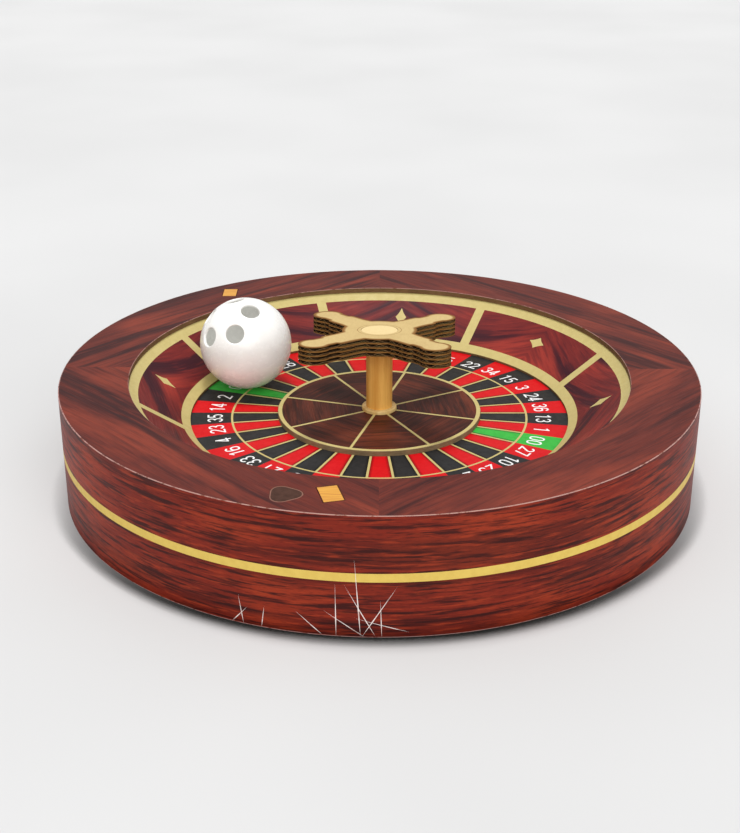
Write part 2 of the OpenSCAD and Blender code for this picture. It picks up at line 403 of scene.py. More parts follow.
KRAFT = kraft("kraft_board", srgb(186, 150, 106), srgb(140, 106, 70))
CUT_BOARD = scorched_board("scorched_liner", srgb(204, 178, 122), srgb(138, 96, 46), srgb(84, 52, 20))
CAP_BOARD = scorched_board("cap_liner", srgb(228, 204, 150), srgb(206, 168, 104), srgb(150, 110, 60))
# The medium's faces are painted near black, painted shade for the inside of the flute cells; its cut edges
# keep the paper's lighter brown.
FLUTE = fluting("corrugated_medium", srgb(74, 52, 30), srgb(30, 19, 10))
FLUTE_EDGE = fluting("corrugated_medium_edge", srgb(152, 122, 84), srgb(92, 68, 42))
DOWEL = dowel_wood("dowel_beech", srgb(240, 186, 96), srgb(206, 138, 52))
COLLAR = dowel_wood("collar_beech", srgb(228, 198, 132), srgb(198, 158, 92), flecks=0.6)
INLAY = inlay_wood("inlay_veneer", srgb(218, 160, 62), srgb(196, 130, 50))
INLAY_LINE = board_edge("inlay_line", srgb(96, 44, 28), srgb(58, 22, 16), lines=False)
BADGE = printed("badge_ink", srgb(74, 45, 33), srgb(54, 32, 24), speckle=0.6)
BADGE_LINE = printed("badge_line_ink", srgb(140, 98, 84), srgb(118, 78, 66), speckle=0.5)
SCRATCH = worn_paper("scratched_paper", srgb(238, 226, 220), srgb(196, 160, 150))
# Both ball materials glow with painted light, the inside more strongly so the holes look bright.
BALL = ball_plastic("ball_white", srgb(248, 247, 243), painted_glow=0.025)
BALL_INSIDE = ball_plastic("ball_inside", srgb(244, 244, 240), painted_glow=0.06)
BUSH = printed("bush_nylon", srgb(228, 228, 224), srgb(206, 206, 200), roughness=0.5)
FLOOR = floor_paint("floor_paper", srgb(210, 210, 210), srgb(205, 205, 205), srgb(40, 42, 40))


# ------------ outlines in the plane
def polar(r, turn):
    a = math.radians(turn)
    return Vector((r * math.cos(a), r * math.sin(a)))


def arc(r, start, end, steps, centre=(0.0, 0.0)):
    return [Vector(centre) + polar(r, start + (end - start) * k / steps) for k in range(steps + 1)]


def circle(r, steps=240, centre=(0.0, 0.0)):
    return arc(r, 0.0, 360.0, steps, centre)[:-1]


def sector(inner_r, outer_r, start, end, steps=8):
    return arc(outer_r, start, end, steps) + arc(inner_r, end, start, steps)


def bar(inner_r, outer_r, turn, half_w):
    """A parallel-sided bar that points away from the centre."""
    out, side = polar(1.0, turn), polar(half_w, turn + 90)
    return [out * inner_r - side, out * outer_r - side, out * outer_r + side, out * inner_r + side]


def rectangle(x0, x1, y0, y1, step):
    """A rectangle whose long sides carry a point about every step."""
    count = max(1, round((x1 - x0) / step))
    xs = [x0 + (x1 - x0) * k / count for k in range(count + 1)]
    return [Vector((x, y0)) for x in xs] + [Vector((x, y1)) for x in reversed(xs)]


def ribbon(path, width):
    """The outline of an open line drawn with a pen of the given width."""
    left, right = [], []
    for k, point in enumerate(path):
        before, after = path[max(0, k - 1)], path[min(len(path) - 1, k + 1)]
        side = (after - before).normalized().orthogonal() * (width / 2)
        left.append(point + side)
        right.append(point - side)
    return left + right[::-1]


def placed(points, move, turn=0.0):
    spin = Matrix.Rotation(math.radians(turn), 2)
    return [spin @ Vector(p) + Vector(move) for p in points]


def ccw(points):
    area = sum(a.x * b.y - b.x * a.y for a, b in zip(points, points[1:] + points[:1]))
    return points if area > 0 else points[::-1]


# ------------ painted sheets
# An ink is a material, with the grain's UV and the shade or scorch value as functions of (x, y)
Ink = namedtuple("Ink", "material grain value", defaults=(None, None))


class Sheet:
    """Shapes painted one over another on a plane, cut apart along their outlines into
    triangles, and then laid between a top and a bottom surface as one closed solid."""

    def __init__(self):
        self.shapes = []
        self.inks = []
        self.guides = []
        self.lines = []

    def paint(self, points, ink):
        """Paints a shape. An ink of None cuts a hole."""
        self.shapes.append(ccw([Vector(p) for p in points]))
        self.inks.append(ink)

    def triangles(self):
        points, faces, edges = [], [], []
        for shape in self.shapes:
            faces.append(list(range(len(points), len(points) + len(shape))))
            points += shape
        for a, b in self.lines:
            edges.append((len(points), len(points) + 1))
            points += [Vector(a), Vector(b)]
        points += [Vector(p) for p in self.guides]
        verts, _, tris, _, _, owners = delaunay_2d_cdt(points, edges, faces, 0, 1e-4, True)
        kept = [(tri, self.inks[max(own)]) for tri, own in zip(tris, owners) if own and self.inks[max(own)]]
        return verts, kept

    def add_to(self, piece, top, bottom, edge, back):
        """Adds the solid to a piece. top and bottom turn (x, y) into a point in space."""
        verts, tris = self.triangles()
        used = sorted({i for tri, ink in tris for i in tri})
        above = {i: piece.bm.verts.new(Vector(top(*verts[i])) * MM) for i in used}
        below = {i: piece.bm.verts.new(Vector(bottom(*verts[i])) * MM) for i in used}
        sides = {}
        for tri, ink in tris:
            piece.face([above[i] for i in tri], ink, [verts[i] for i in tri])
            piece.face([below[i] for i in reversed(tri)], back, [verts[i] for i in reversed(tri)])
            for a, b in zip(tri, tri[1:] + tri[:1]):
                if (b, a) in sides:
                    del sides[(b, a)]
                else:
                    sides[(a, b)] = ink
        for a, b in sides:
            corners = [above[b], above[a], below[a], below[b]]
            piece.face(corners, edge, [verts[b], verts[a], verts[a], verts[b]])


class Piece:
    """A mesh being built, with its materials, its grain UV and one value per corner."""

    def __init__(self, value_name="shade"):
        self.bm = bmesh.new()
        self.uv = self.bm.loops.layers.uv.new("grain")
        self.value = self.bm.loops.layers.float.new(value_name)
        self.materials = []

    def face(self, corners, ink, places):
        if ink.material not in self.materials:
            self.materials.append(ink.material)
        face = self.bm.faces.new(corners)
        face.material_index = self.materials.index(ink.material)
        for loop, (x, y) in zip(face.loops, places):
            loop[self.uv].uv = ink.grain(x, y) if ink.grain else (x, y)
            loop[self.value] = ink.value(x, y) if ink.value else 1.0
        return face

    def lathe(self, profile, ink, pose=None):
        """Turns a closed profile of (r, z) about Z, then moves it by a pose. The profile runs
        anticlockwise."""
        steps = 96
        pose = pose or Matrix.Identity(4)
        rings = []
        for k in range(steps):
            spoke = [polar(r, 360.0 * k / steps) for r, z in profile]
            points = [pose @ Vector((p.x, p.y, z)) for p, (r, z) in zip(spoke, profile)]
            rings.append([self.bm.verts.new(p * MM) for p in points])
        count = len(profile)
        for k in range(steps):
            now, after = rings[k], rings[(k + 1) % steps]
            for j in range(count):
                i = (j + 1) % count
                places = [(k, j), (k + 1, j), (k + 1, j + 1), (k, j + 1)]
                self.face([now[j], after[j], after[i], now[i]], ink, places)

    def obj(self, name, body, node, sharp=32.0):
        """Makes the object, hangs it on its body and hides the CAD node it stands for."""
        bmesh.ops.remove_doubles(self.bm, verts=self.bm.verts, dist=1e-8)
        data = bpy.data.meshes.new(name)
        self.bm.to_mesh(data)
        self.bm.free()
        for material in self.materials:
            data.materials.append(material)
        data.shade_smooth()
        data.set_sharp_from_angle(angle=math.radians(sharp))
        made = bpy.data.objects.new(name, data)
        bpy.context.scene.collection.objects.link(made)
        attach(made, body)
        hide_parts(node)


def veneer(material, centre, tilt=0.0, mirror=1.0, offset=0.0):
    """Ink for one wedge of veneer: U runs along its grain, which leans tilt from the tangent.
    offset picks another part of the figure."""
    lean = math.radians(tilt)

    def grain(x, y):
        r, turn = math.hypot(x, y), math.degrees(math.atan2(y, x))
        swing = math.radians((turn - centre + 180.0) % 360.0 - 180.0)
        along, out = mirror * r * math.sin(swing), r * math.cos(swing)
        u = along * math.cos(lean) + out * math.sin(lean)
        v = out * math.cos(lean) - along * math.sin(lean)
        return (u + offset * 3.7, v + offset)
    return Ink(material, grain)


def flat(z):
    return lambda x, y: (x, y, z)


EDGE_INK = Ink(EDGE)
KRAFT_INK = Ink(KRAFT)
GOLD_INK = Ink(GOLD)


# ------------ wall sleeve
SLEEVE_PAPER_T = 0.14
SLEEVE_LAP = 9.0
SLEEVE_STEP = 4.6
SLEEVE_WORN = 0.25
SLEEVE_CLEAR = 0.02
STRIPE_LOW, STRIPE_HIGH = 29.9, 34.5
# Each scratch: from (turn, height) to (turn, height), and its width
SCRATCHES = [
    (248.1, 15.9, 248.9, 0.2, 0.5), (249.6, 9.6, 247.0, 0.2, 0.5), (252.4, 11.7, 251.9, 0.2, 0.5),
    (257.4, 11.7, 261.5, 0.2, 0.5), (263.5, 28.5, 263.6, 0.2, 0.5), (261.6, 13.9, 267.9, 0.2, 0.45),
    (264.8, 28.5, 269.6, 0.2, 0.5), (266.4, 41.8, 267.3, 0.2, 0.6), (272.9, 28.0, 267.5, 0.2, 0.5),
    (266.3, 10.5, 274.6, 2.8, 0.4), (270.3, 19.9, 270.5, 0.2, 0.45),
]


def make_sleeve():
    """The printed sleeve is one strip that starts at the back and laps over its own start."""
    full = 2 * math.pi * WHEEL_R
    length = full + SLEEVE_LAP
    sheet = Sheet()
    sheet.paint(rectangle(0, length, 0, WHEEL_H, SLEEVE_STEP), Ink(WORN))
    sheet.paint(rectangle(0, length, SLEEVE_WORN, WHEEL_H - SLEEVE_WORN, SLEEVE_STEP), Ink(WALL_WOOD))
    sheet.paint(rectangle(0, length, STRIPE_LOW, STRIPE_HIGH, SLEEVE_STEP), Ink(STRIPE_GOLD))
    for turn_a, z_a, turn_b, z_b, width in SCRATCHES:
        start = Vector((math.radians(turn_a - 90) * WHEEL_R, z_a))
        end = Vector((math.radians(turn_b - 90) * WHEEL_R, z_b))
        side = (end - start).normalized().orthogonal() * (width / 2)
        thick = start.lerp(end, 0.7)
        sheet.paint([start, thick - side, end, thick + side], Ink(SCRATCH))
    lift = SLEEVE_PAPER_T + SLEEVE_CLEAR
    climb_length = 3.0

    def layer(inset):
        def at(s, z):
            climb = min(1.0, max(0.0, (s - full + climb_length) / climb_length))
            edge_roll = SLEEVE_WORN * max(0.0, (z - WHEEL_H + SLEEVE_WORN) / SLEEVE_WORN) ** 2
            r = WHEEL_R - SLEEVE_CLEAR - lift + lift * climb - inset - (0.0 if inset else edge_roll)
            p = polar(r, 90.0 + math.degrees(s / WHEEL_R))
            return (p.x, p.y, z)
        return at

    piece = Piece()
    sheet.add_to(piece, layer(0.0), layer(SLEEVE_PAPER_T), Ink(WORN), KRAFT_INK)
    piece.obj("wall_sleeve", "housing", "wall_wrap")


# ------------ rim
RIM_FOLD = 0.28
# Each inlay: its node, width, length, distance from the spindle, direction and turn
INLAYS = [
    ("inlay_back", 9.6, 14.8, 163.8, 126.8, 0.0),
    ("inlay_front", 10.8, 16.6, 159.2, 261.8, 14.3),
]
BADGE_AT = (164.2, 254.4)
BADGE_R = 7.9
BADGE_BULGE = 0.9
INLAY_T = 1.0
POCKET_GAP = 0.1


def inlay_outline(width, length, place_r, place_turn, turn, grow):
    w, l = width / 2 + grow, length / 2 + grow
    return placed([(-w, -l), (w, -l), (w, l), (-w, l)], polar(place_r, place_turn), turn)


def badge_outline(grow):
    steps = 72
    points = [polar(BADGE_R + grow + BADGE_BULGE * math.cos(math.radians(3 * a)), a)
              for a in (360.0 * k / steps for k in range(steps))]
    return placed(points, polar(*BADGE_AT))


def inside(point, outline):
    """True where a line from the point to the right crosses the outline an odd number of times."""
    x, y = point
    crossed = 0
    for a, b in zip(outline, outline[1:] + outline[:1]):
        if (a.y > y) != (b.y > y) and x < a.x + (y - a.y) * (b.x - a.x) / (b.y - a.y):
            crossed += 1
    return crossed % 2 == 1


def pocket_outlines(grow):
    return [inlay_outline(*spec[1:], grow=grow) for spec in INLAYS] + [badge_outline(grow)]


def make_rim():
    sheet = Sheet()
    sheet.paint(circle(RIM_HIGH.x), Ink(WORN))
    for k in range(4):
        start = 90.0 * k
        ink = veneer(RIM_WOOD, start + 45.0, mirror=1 - 2 * (k % 2), offset=97.0 * k)
        sheet.paint(sector(RIM_INNER_R - 3, RIM_HIGH.x - RIM_FOLD, start, start + 90.0, 60), ink)
    sheet.paint(circle(RIM_INNER_R + RIM_FOLD), Ink(WORN_INNER))
    for outline in pocket_outlines(POCKET_GAP) + pocket_outlines(0.0):
        sheet.paint(outline, EDGE_INK)
    halfway = pocket_outlines(POCKET_GAP / 2)
    sheet.paint(circle(RIM_INNER_R), None)

    def top(x, y):
        r = math.hypot(x, y)
        fold = max(0.0, RIM_INNER_R + RIM_FOLD - r, r - RIM_HIGH.x + RIM_FOLD)
        sunk = INLAY_T if any(inside((x, y), mark) for mark in halfway) else 0.0
        return (x, y, WHEEL_H - 0.8 * fold - sunk)

    piece = Piece()
    sheet.add_to(piece, top, flat(RIM_LOW.z), EDGE_INK, KRAFT_INK)
    piece.obj("rim", "housing", "rim_board")


def make_inlay(name, shape, line_w, face_ink, line_ink):
    """A plate with a thin line round its face and a small chamfer. shape gives its outline,
    grown by any amount."""
    bevel = 0.1
    sheet = Sheet()
    sheet.paint(shape(-0.01), line_ink)
    sheet.paint(shape(-bevel), line_ink)
    sheet.paint(shape(-line_w), face_ink)
    shoulder = shape(-bevel / 2)

    def top(x, y):
        return (x, y, WHEEL_H - (0.0 if inside((x, y), shoulder) else bevel))

    piece = Piece()
    sheet.add_to(piece, top, flat(WHEEL_H - INLAY_T + 0.02), line_ink, line_ink)
    piece.obj(name + "_plate", "housing", name)


def make_rim_details():
    for name, *spec in INLAYS:
        def shape(grow):
            return inlay_outline(*spec, grow=grow)
        make_inlay(name, shape, 0.55, Ink(INLAY), Ink(INLAY_LINE))
    make_inlay("rim_badge", badge_outline, 0.6, Ink(BADGE), Ink(BADGE_LINE))


# ------------ bowl
BOWL_RING_R = 113.4
BOWL_RIM_RING_R = 136.6
BOWL_FLANGE_R = 150.0
BAR_HALF_W = 3.0
# The last bar stands a little before its even place
BARS = [16.3 + 45.0 * k for k in range(7)] + [324.5]
DIAMONDS = [38.6 + 45.0 * k for k in range(8)]
DIAMOND_R = 125.8
# Circles that cut the band's mesh finely enough to follow its slope
BOWL_CUTS = (119.0, 125.0, 131.0, BOWL_RIM_RING_R, 139.5)


def bowl_z(r):
    slope = (RIM_LOW.z - BOWL_INNER_Z) / (BOWL_OUTER_R - BOWL_INNER_R)
    return min(RIM_LOW.z, BOWL_INNER_Z + (r - BOWL_INNER_R) * slope)


def diamond(turn, length, width):
    """A four-pointed star with hollow sides. Its length runs away from the spindle."""
    steps = 6
    points = []
    for corner in range(4):
        for k in range(steps):
            t = k / steps
            a = math.radians(90 * corner)
            b = math.radians(90 * corner + 90)
            pull = 1 - 0.12 * math.sin(math.pi * t)
            x = ((1 - t) * math.cos(a) + t * math.cos(b)) * pull * length / 2
            y = ((1 - t) * math.sin(a) + t * math.sin(b)) * pull * width / 2
            points.append((x, y))
    return placed(points, polar(DIAMOND_R, turn), turn)


def make_bowl():
    sheet = Sheet()
    sheet.paint(circle(BOWL_FLANGE_R), KRAFT_INK)
    sheet.paint(circle(BOWL_OUTER_R), GOLD_INK)
    next_bars = BARS[1:] + [BARS[0] + 360.0]
    for k, (lozenge, start, end) in enumerate(zip(DIAMONDS, BARS, next_bars)):
        before = veneer(BOWL_WOOD, lozenge, tilt=26.0, mirror=1, offset=61.0 * k)
        after = veneer(BOWL_WOOD, lozenge, tilt=26.0, mirror=-1, offset=61.0 * k)
        sheet.paint(sector(BOWL_RING_R - 2, BOWL_RIM_RING_R, start, lozenge, 12), before)
        sheet.paint(sector(BOWL_RING_R - 2, BOWL_RIM_RING_R, lozenge, end, 12), after)
    for k in range(8):
        sheet.paint(bar(BOWL_RING_R - 2, BOWL_RIM_RING_R + 2, BARS[k], BAR_HALF_W), GOLD_INK)
        long_way = (7.0, 12.0) if k % 2 == 0 else (12.0, 7.0)
        sheet.paint(diamond(DIAMONDS[k], *long_way), GOLD_INK)
    sheet.paint(circle(BOWL_RING_R), GOLD_INK)
    sheet.paint(circle(BOWL_INNER_R), None)
    for r in BOWL_CUTS:
        sheet.guides += circle(r, 180)

    def top(x, y):
        return (x, y, bowl_z(math.hypot(x, y)))

    def bottom(x, y):
        return (x, y, bowl_z(math.hypot(x, y)) - BOWL_CARD_T)

    piece = Piece()
    sheet.add_to(piece, top, bottom, EDGE_INK, KRAFT_INK)
    piece.obj("bowl", "housing", "bowl_band", sharp=40.0)


# ------------ number deck
ORDER = ("0 28 9 26 30 11 7 20 32 17 5 22 34 15 3 24 36 13 1 "
         "00 27 10 25 29 12 8 19 31 18 6 21 33 16 4 23 35 14 2").split()
REDS = "1 3 5 7 9 12 14 16 18 19 21 23 25 27 30 32 34 36".split()
ZERO_TURN = 156.7
POCKET_STEP = 360.0 / len(ORDER)
LINE_R = 84.8
LINE_W = 1.2
FRET_HALF_W = 0.65
POCKET_SHADE_W = 1.8
DIGIT_W, DIGIT_H, DIGIT_PEN = 3.8, 7.9, 1.02
DIGIT_STEP = 5.6
DIGIT_R = 94.4


def oval(cx, cy, rx, ry, grow=0.0, power=2.5, steps=28):
    """A closed rounded loop, fuller than an ellipse."""
    points = []
    for k in range(steps):
        c, s = polar(1.0, 360.0 * k / steps)
        x = math.copysign(abs(c) ** (2 / power), c) * (rx + grow)
        y = math.copysign(abs(s) ** (2 / power), s) * (ry + grow)
        points.append(Vector((cx + x, cy + y)))
    return points


def curve(cx, cy, rx, ry, start, end):
    """Points along part of an ellipse."""
    return [(cx + rx * p.x, cy + ry * p.y) for p in arc(1.0, start, end, 12)]


def digit_strokes(digit):
    """Open pen lines and closed loops of one digit. They are set out in a box one wide and one
    high, and then stretched to the digit's size. A 9 is a 6 turned half round."""
    lines, loops = [], []
    if digit == "0":
        loops.append((0.5, 0.5, 0.5, 0.5))
    elif digit == "1":
        lines.append([(0.62, -0.07), (0.62, 1.07)])
        lines.append([(0.62, 0.99), (0.10, 0.82)])
    elif digit == "2":
        lines.append(curve(0.5, 0.74, 0.5, 0.26, 172, -22) + [(0.04, 0.02)])
        lines.append([(-0.14, 0.0), (1.10, 0.0)])
    elif digit == "3":
        lines.append(curve(0.48, 0.76, 0.47, 0.24, 168, -88))
        lines.append(curve(0.48, 0.27, 0.52, 0.27, 92, -168))
    elif digit == "4":
        lines.append([(0.74, -0.07), (0.74, 1.07)])
        lines.append([(0.74, 1.0), (0.02, 0.26)])
        lines.append([(-0.12, 0.24), (1.14, 0.24)])
    elif digit == "5":
        lines.append([(0.08, 1.0), (1.0, 1.0)])
        lines.append([(0.16, 1.05), (0.08, 0.50)])
        lines.append(curve(0.48, 0.30, 0.52, 0.30, 142, -160))
    elif digit in "69":
        loops.append((0.5, 0.29, 0.5, 0.29))
        lines.append([(0.0, 0.29)] + curve(0.5, 0.64, 0.5, 0.36, 180, 28))
    elif digit == "7":
        lines.append([(-0.08, 1.0), (1.08, 1.0)])
        lines.append([(1.0, 1.0), (0.32, -0.07)])
    elif digit == "8":
        loops.append((0.5, 0.76, 0.45, 0.24))
        loops.append((0.5, 0.26, 0.50, 0.27))
    if digit == "9":
        lines = [[(1 - x, 1 - y) for x, y in line] for line in lines]
        loops = [(1 - cx, 1 - cy, rx, ry) for cx, cy, rx, ry in loops]
    w, h = DIGIT_W, DIGIT_H
    loops = [(cx * w, cy * h, rx * w, ry * h) for cx, cy, rx, ry in loops]
    return [[Vector((x * w, y * h)) for x, y in line] for line in lines], loops


def paint_number(sheet, text, turn, ground):
    """Digits with their tops outward, on the given ground ink."""
    white = Ink(WHITE_INK)
    for place, digit in enumerate(text):
        across = (place - (len(text) - 1) / 2) * DIGIT_STEP - DIGIT_W / 2

        def on_deck(points):
            up, right = polar(1.0, turn), polar(1.0, turn - 90)
            return [up * (DIGIT_R - DIGIT_H / 2 + p.y) + right * (across + p.x) for p in points]

        lines, loops = digit_strokes(digit)
        for loop in loops:
            sheet.paint(on_deck(oval(*loop, grow=DIGIT_PEN / 2)), white)
        for loop in loops:
            sheet.paint(on_deck(oval(*loop, grow=-DIGIT_PEN / 2)), ground)
        for line in lines:
            sheet.paint(on_deck(ribbon(line, DIGIT_PEN)), white)


def pocket_shade(turn):
    """Bright in the middle of a pocket and dark beside its frets."""
    def value(x, y):
        out = Vector((x, y))
        gap = min(abs(out.cross(polar(1.0, turn + side * POCKET_STEP / 2))) for side in (-1, 1))
        return min(1.0, max(0.0, gap - FRET_HALF_W) / POCKET_SHADE_W)
    return value


def make_deck():
    sheet = Sheet()
    turns = [ZERO_TURN - k * POCKET_STEP for k in range(len(ORDER))]
    inks = [GREEN if n in ("0", "00") else RED if n in REDS else BLACK for n in ORDER]
    half = POCKET_STEP / 2
    for turn, ink in zip(turns, inks):
        sheet.paint(sector(LINE_R - 3, DECK_R, turn - half, turn + half), Ink(ink))
    sheet.paint(circle(LINE_R + LINE_W / 2), GOLD_INK)
    low_r, high_r = DISC_R - 4, LINE_R - LINE_W / 2
    for turn, ink in zip(turns, inks):
        shaded = Ink(ink, value=pocket_shade(turn))
        sheet.paint(sector(low_r, high_r, turn - half, turn + half), shaded)
        low_side, high_side = (half - math.degrees((FRET_HALF_W + POCKET_SHADE_W) / r)
                               for r in (low_r, high_r))
        outer_arc = arc(high_r, turn - high_side, turn + high_side, 4)
        inner_arc = arc(low_r, turn + low_side, turn - low_side, 4)
        sheet.paint(outer_arc + inner_arc, shaded)
    for turn in turns:
        sheet.paint(bar(low_r, LINE_R, turn + half, FRET_HALF_W), GOLD_INK)
    for text, turn, ink in zip(ORDER, turns, inks):
        paint_number(sheet, text, turn, Ink(ink))
    sheet.paint(circle(DOWEL_R + BORE_GAP, 48), None)
    piece = Piece()
    sheet.add_to(piece, flat(DECK_Z), flat(DECK_LOW.z), EDGE_INK, KRAFT_INK)
    piece.obj("deck", "rotor", "number_deck")


# ------------ centre disc and collar
DISC_RING_R = 56.0
DISC_EYE_R = 5.0
BORE_GAP = 0.02
DISC_LINES = [29.0 + 45.0 * k for k in range(8)]
DISC_LINE_HALF_W = 0.75


def make_disc():
    bevel = 0.2
    sheet = Sheet()
    sheet.paint(circle(DISC_R), Ink(DISC_EDGE))
    sheet.paint(circle(DISC_R - bevel), GOLD_INK)
    for k, line in enumerate(DISC_LINES):
        ink = veneer(DISC_WOOD, line + 22.5, offset=47.0 * k)
        sheet.paint(sector(DISC_EYE_R, DISC_RING_R, line, line + 45.0, 12), ink)
    for line in DISC_LINES:
        sheet.paint(bar(DISC_EYE_R, DISC_RING_R + 1, line, DISC_LINE_HALF_W), GOLD_INK)
    sheet.paint(circle(DOWEL_R + BORE_GAP, 48), None)

    def top(x, y):
        return (x, y, DISC_Z - (bevel if math.hypot(x, y) > DISC_R - bevel / 2 else 0.0))

    piece = Piece()
    sheet.add_to(piece, top, flat(DISC_LOW.z + 0.01), Ink(DISC_EDGE), KRAFT_INK)
    piece.obj("disc", "rotor", "centre_disc")


def make_collar():
    low, high, r, bore = COLLAR_LOW.z + 0.01, COLLAR_HIGH.z, COLLAR_R, DOWEL_R + BORE_GAP
    round_r = 0.7
    shoulder = [(r - round_r + round_r * c.x, high - round_r + round_r * c.y) for c in arc(1.0, 0, 90, 6)]
    ring = Piece()
    ring.lathe([(bore, low), (r, low)] + shoulder + [(bore, high)], Ink(COLLAR))
    ring.obj("collar", "rotor", "spindle_collar")


# ------------ handle
KNOB_R, NECK_W, BODY_W, SHOULDER_R = 8.8, 14.8, 18.4, 3.0
ROOT_W, ROOT_X, FLARE_X = 21.0, 14.0, 24.0
KNOB_X = ARM_REACH - KNOB_R
SHOULDER_X = KNOB_X - 13.2
HUB_ROUND_R = 21.2
LINER_T = 0.3
MEDIUM_T = 0.26
FLUTE_PITCH = 6.4
FLUTE_TURN = 42.0
SCORCH_W = 2.6
SCORED_R = 12.4
SCORED_HALF_W = 0.14
# How brown a cut edge is; 1 is the brownest
CUT_SCORCH = 0.7
CAP_HOLE = circle(CAP_R + 0.08, 64)
# The medium stops a little short of the liners' edge
MEDIUM_INSET = 0.12
FLUTE_STEPS = 8
FLUTES_PER_SIDE = 12
FLUTE_LENGTH = 80.0
LEAN = Matrix.Translation((0, 0, HANDLE_Z)) @ Matrix.Rotation(math.radians(-HANDLE_LEAN), 4, "X")


def arm_shapes(turn):
    """The shapes that make up one arm, about the handle's centre."""
    knob = circle(KNOB_R, 40, (KNOB_X, 0))
    neck = [(0, -NECK_W / 2), (KNOB_X, -NECK_W / 2), (KNOB_X, NECK_W / 2), (0, NECK_W / 2)]
    body = [(0, -BODY_W / 2), (SHOULDER_X, -BODY_W / 2), (SHOULDER_X, BODY_W / 2), (0, BODY_W / 2)]
    rounds = [circle(SHOULDER_R, 24, (SHOULDER_X, s * (BODY_W / 2 - SHOULDER_R))) for s in (-1, 1)]
    root = [(0, -ROOT_W / 2), (ROOT_X, -ROOT_W / 2), (FLARE_X, -BODY_W / 2),
            (FLARE_X, BODY_W / 2), (ROOT_X, ROOT_W / 2), (0, ROOT_W / 2)]
    return [placed(shape, (0, 0), turn) for shape in [knob, neck, body, *rounds, root]]


def handle_shapes():
    shapes = [circle(HUB_ROUND_R, 72)]
    for k in range(4):
        shapes += arm_shapes(ARM_TURN + 90 * k)
    return shapes


def outline_of(shapes):
    """The outer edge of overlapping shapes, walked in order."""
    sheet = Sheet()
    for shape in shapes:
        sheet.paint(shape, KRAFT_INK)
    verts, tris = sheet.triangles()
    edges = dict.fromkeys(edge for tri, ink in tris for edge in zip(tri, tri[1:] + tri[:1]))
    follow = {a: b for a, b in edges if (b, a) not in edges}
    loop = [max(follow, key=lambda i: verts[i].length)]
    while follow[loop[-1]] != loop[0]:
        loop.append(follow[loop[-1]])
    return [verts[i] for i in loop]


def evened(outline, step):
    """The same outline with long edges divided."""
    out = []
    for a, b in zip(outline, outline[1:] + outline[:1]):
        count = max(1, round((b - a).length / step))
        out += [a.lerp(b, k / count) for k in range(count)]
    return out


def shrunk(outline, by):
    """The outline moved inward, each point along its own normal."""
    out = []
    for before, point, after in zip(outline[-1:] + outline[:-1], outline, outline[1:] + outline[:1]):
        inward = (after - before).normalized().orthogonal()
        if inward.cross(after - before) > 0:
            inward = -inward
        out.append(point + inward * by)
    return out


def add_liner(piece, at, low, outline, scored):
    """One flat liner of a board, from the height low. A scored one has the cap's hole."""
    cold = shrunk(outline, SCORCH_W / 2)

    def scorch(x, y):
        return 0.0 if inside((x, y), cold) else 1.0

    def burnt(x, y):
        return CUT_SCORCH

    face, cut = Ink(CUT_BOARD, value=scorch), Ink(CUT_BOARD, value=burnt)
    liner = Sheet()
    liner.paint(outline, face)
    liner.paint(shrunk(outline, SCORCH_W), face)
    if scored:
        liner.paint(circle(SCORED_R + SCORED_HALF_W, 72), cut)
        liner.paint(circle(SCORED_R - SCORED_HALF_W, 72), face)
        liner.paint(CAP_HOLE, None)
    liner.add_to(piece, at(low + LINER_T), at(low), cut, face)


def add_medium(piece, at, middle, outline, phase, scored):
    """The wavy sheet between two liners. Its crests run along FLUTE_TURN."""
    along, across = polar(1.0, FLUTE_TURN), polar(1.0, FLUTE_TURN + 90)
    swing = (SHEET_T - 2 * LINER_T - MEDIUM_T) / 2

    def wave(x, y):
        return math.sin(2 * math.pi * (Vector((x, y)).dot(across) + phase) / FLUTE_PITCH) * swing

    def upper(x, y):
        return middle + wave(x, y) + MEDIUM_T / 2

    def lower(x, y):
        return middle + wave(x, y) - MEDIUM_T / 2

    medium = Sheet()
    medium.paint(shrunk(outline, MEDIUM_INSET), Ink(FLUTE))
    if scored:
        medium.paint(CAP_HOLE, None)
    for k in range(-FLUTES_PER_SIDE * FLUTE_STEPS, FLUTES_PER_SIDE * FLUTE_STEPS + 1):
        foot = across * (k * FLUTE_PITCH / FLUTE_STEPS)
        medium.lines.append((foot - along * FLUTE_LENGTH, foot + along * FLUTE_LENGTH))
    # The faces take the medium's painted-shade ink and the cut edges the paper's own brown.
    medium.add_to(piece, at(upper), at(lower), Ink(FLUTE_EDGE), Ink(FLUTE))


def make_board(k, outline):
    """One corrugated sheet of the handle, k = 0 at the bottom, glued a little askew."""
    low = (k - SHEETS) * SHEET_T
    scored = k == SHEETS - 1
    phase = random.uniform(0, FLUTE_PITCH)
    turn = random.uniform(-0.35, 0.35)
    place = LEAN @ Matrix.Rotation(math.radians(turn), 4, "Z")

    def at(z):
        return lambda x, y: place @ Vector((x, y, z(x, y) if callable(z) else z))

    piece = Piece("scorch")
    for liner_low in (low, low + SHEET_T - LINER_T):
        add_liner(piece, at, liner_low, outline, scored)
    add_medium(piece, at, low + SHEET_T / 2, outline, phase, scored)
    piece.obj(f"handle_board_{k + 1}", "rotor", f"handle_sheet_{k + 1}", sharp=50.0)


def make_cap():
    r, bevel = CAP_R - 0.02, 0.25
    profile = [(0.0, -SHEET_T), (r, -SHEET_T), (r, -bevel), (r - bevel, 0.0), (0.0, 0.0)]
    piece = Piece("scorch")
    piece.lathe(profile, Ink(CAP_BOARD, value=lambda x, y: 0.0), LEAN)
    piece.obj("cap", "rotor", "handle_cap")


def make_handle():
    outline = evened(outline_of(handle_shapes()), 1.6)
    for k in range(SHEETS):
        make_board(k, outline)
    make_cap()


